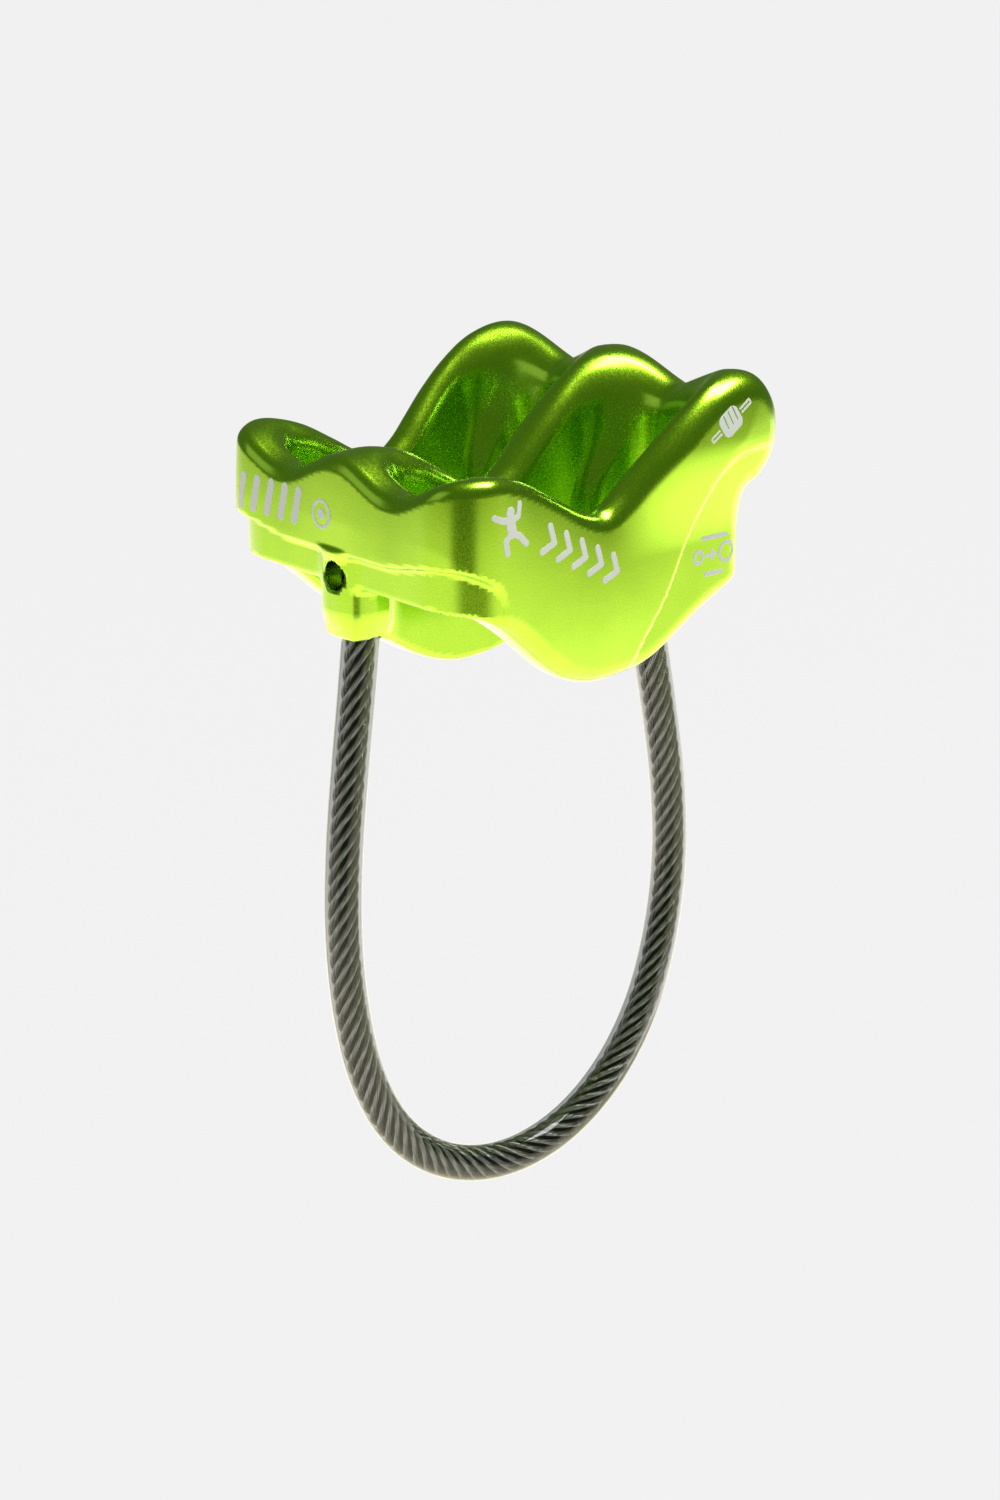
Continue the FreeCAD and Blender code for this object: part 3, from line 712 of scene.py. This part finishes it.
def pale_floor():
    """A pale floor well below the hanging loop, evenly lit from inside as a light table is."""
    half, height = 20.0, FLOOR_HEIGHT
    mesh = bpy.data.meshes.new("floor")
    corners = [(-half, -half, height), (half, -half, height), (half, half, height), (-half, half, height)]
    mesh.from_pydata(corners, [], [(0, 1, 2, 3)])
    floor = bpy.data.objects.new("floor", mesh)
    bpy.context.scene.collection.objects.link(floor)
    material, nodes, links, shader = new_material("pale_floor")
    mottle = noise(nodes, links, 6.0, 2.0)
    grey = colours(nodes, links, mottle, (0.012, 0.012, 0.012), (0.014, 0.014, 0.014))
    links.new(grey, shader.inputs["Base Color"])
    shader.inputs["Roughness"].default_value = 0.9
    shader.inputs["Specular IOR Level"].default_value = 0.0
    shader.inputs["Emission Color"].default_value = (1.0, 1.0, 1.0, 1.0)
    shader.inputs["Emission Strength"].default_value = PALE
    mesh.materials.append(material)
    floor.visible_glossy = False


def area_light(name, place, aim, size, power, colour=(1, 1, 1)):
    data = bpy.data.lights.new(name, "AREA")
    data.shape = "RECTANGLE"
    data.size, data.size_y = size
    data.energy = power
    data.color = colour
    light = bpy.data.objects.new(name, data)
    light.location = place
    light.rotation_euler = (Vector(aim) - Vector(place)).to_track_quat("-Z", "Y").to_euler()
    bpy.context.scene.collection.objects.link(light)
    return light


def maths(nodes, links, operation, *values):
    node = nodes.new("ShaderNodeMath")
    node.operation = operation
    for socket, value in zip(node.inputs, values):
        if isinstance(value, (int, float)):
            socket.default_value = value
        else:
            links.new(value, socket)
    return node.outputs["Value"]


def studio():
    """A dim room over a bright floor, with a dark opening on one side, and one soft box overhead."""
    world = bpy.data.worlds.new("studio")
    bpy.context.scene.world = world
    world.use_nodes = True
    nodes, links = world.node_tree.nodes, world.node_tree.links
    place = nodes.new("ShaderNodeTexCoord")
    split = nodes.new("ShaderNodeSeparateXYZ")
    links.new(place.outputs["Generated"], split.inputs["Vector"])
    x, y, z = (split.outputs[axis] for axis in "XYZ")
    towards = maths(nodes, links, "ADD", maths(nodes, links, "MULTIPLY", x, OPENING[0]),
                    maths(nodes, links, "MULTIPLY", y, OPENING[1]))
    level = maths(nodes, links, "SUBTRACT", 1.0, maths(nodes, links, "MULTIPLY", z, z))
    flat = maths(nodes, links, "SQRT", level)
    facing = maths(nodes, links, "DIVIDE", towards, maths(nodes, links, "MAXIMUM", flat, 0.01))
    aside = between(nodes, links, facing, 1.0, 0.0, 0.85, 0.96)
    deep = between(nodes, links, z, 1.0, 0.0, -0.52, -0.27)
    lit = maths(nodes, links, "MULTIPLY", between(nodes, links, z, 1.0, 0.0, -0.39, -0.06),
                maths(nodes, links, "MAXIMUM", aside, deep))
    glow = nodes.new("ShaderNodeValToRGB")
    glow.color_ramp.elements[0].color = (*ROOM_GLOW, 1)
    glow.color_ramp.elements[1].color = (*FLOOR_GLOW, 1)
    links.new(lit, glow.inputs["Fac"])
    seen = nodes.new("ShaderNodeMix")
    seen.data_type = "RGBA"
    seen.inputs[7].default_value = (PALE, PALE, PALE, 1)
    links.new(nodes.new("ShaderNodeLightPath").outputs["Is Camera Ray"], seen.inputs[0])
    links.new(glow.outputs["Color"], seen.inputs[6])
    links.new(seen.outputs[2], nodes["Background"].inputs["Color"])
    area_light("overhead_softbox", (0.14, 0.22, 0.68), (0, 0, 0), (0.34, 0.34), 4.8)
    area_light("front_softbox", (-0.25, -0.60, 0.35), (0, 0, 0.01), (0.5, 0.5), 0.3)
    area_light("side_softbox", (0.12, 0.80, -0.30), (0, 0, 0.01), (0.6, 0.35), 0.7).visible_camera = False
    bpy.context.scene.view_settings.view_transform = "Standard"


def camera():
    azimuth, elevation, distance = radians(48.6), radians(18.3), 0.335
    aim = Vector((0.01216, -0.00775, -0.00741))
    back = Vector((sin(azimuth) * cos(elevation), -cos(azimuth) * cos(elevation), sin(elevation)))
    data = bpy.data.cameras.new("camera")
    data.sensor_width = 36.0
    data.lens = 78.39
    data.clip_start = 0.01
    view = bpy.data.objects.new("camera", data)
    view.location = aim + back * distance
    view.rotation_euler = (pi / 2 - elevation, 0.0, azimuth)
    bpy.context.scene.collection.objects.link(view)
    bpy.context.scene.camera = view


# ---------------------------------------------------------------- assembly

camera()
studio()
pale_floor()

line = keeper_line()
line_mm = np.array(line) / MM
rope_start = mouth_point(FRONT_MOUTH, FRONT_LEAN, ROPE_ENTRY)
rope_end = mouth_point(REAR_MOUTH, REAR_LEAN, ROPE_ENTRY)
rope_mm = np.concatenate([[tuple(rope_start)], line_mm, [tuple(rope_end)]])
jacket = keeper_sheath(line_mm)
strands, core_faces = wire_strands(rope_mm)
body = forged_body()

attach(body, "device")
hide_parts("forged_body")
dress(body, anodised_green())

paint = mark_paint()
for name, shape, face, centre, half_u, half_v in (
    ("mark_climber", climber, "side", (-12.8, 18.2), 3.2, 3.6),
    ("mark_arrows", arrows, "side", (-3.1, 13.8), 6.6, 4.6),
    ("mark_hand", gripping_hand, "side", (16.2, 24.9), 3.2, 3.2),
    ("mark_rope_range", rope_range, "side", (15.9, 9.9), 3.6, 3.2),
    ("mark_bars", slanted_bars, "front", (-10.3, 17.0), 5.8, 2.4),
    ("mark_badge", badge, "front", (-1.6, 16.9), 1.9, 1.9),
):
    mark = printed(name, shape, face, centre, half_u, half_v)
    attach(mark, "device")
    dress(mark, paint)

for piece, node, finish, material in (
    (jacket, "keeper_sheath", "clear_jacket", clear_jacket()),
    (strands, "wire_rope", "rope_steel", rope_wire()),
):
    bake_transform(piece)
    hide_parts(node)
    dress(piece, material)
# The core takes the near-black material: painted shade between the strands.
strands.data.materials.append(core_painted_shade())
for polygon in strands.data.polygons[:core_faces]:
    polygon.material_index = 1
length = float(np.sum(np.linalg.norm(np.diff(line_mm, axis=0), axis=1))) * MM
print("keeper line", round(length, 4))

for node in ("front_terminal", "rear_terminal"):
    dress_node(node, turned_steel(f"{node}_steel", (0.62, 0.62, 0.60), (1.0, 1.0, 0.05)))
for node in ("front_pin", "rear_pin"):
    dress_node(node, turned_steel(f"{node}_steel", (0.50, 0.50, 0.47), (1.0, 0.05, 1.0)))
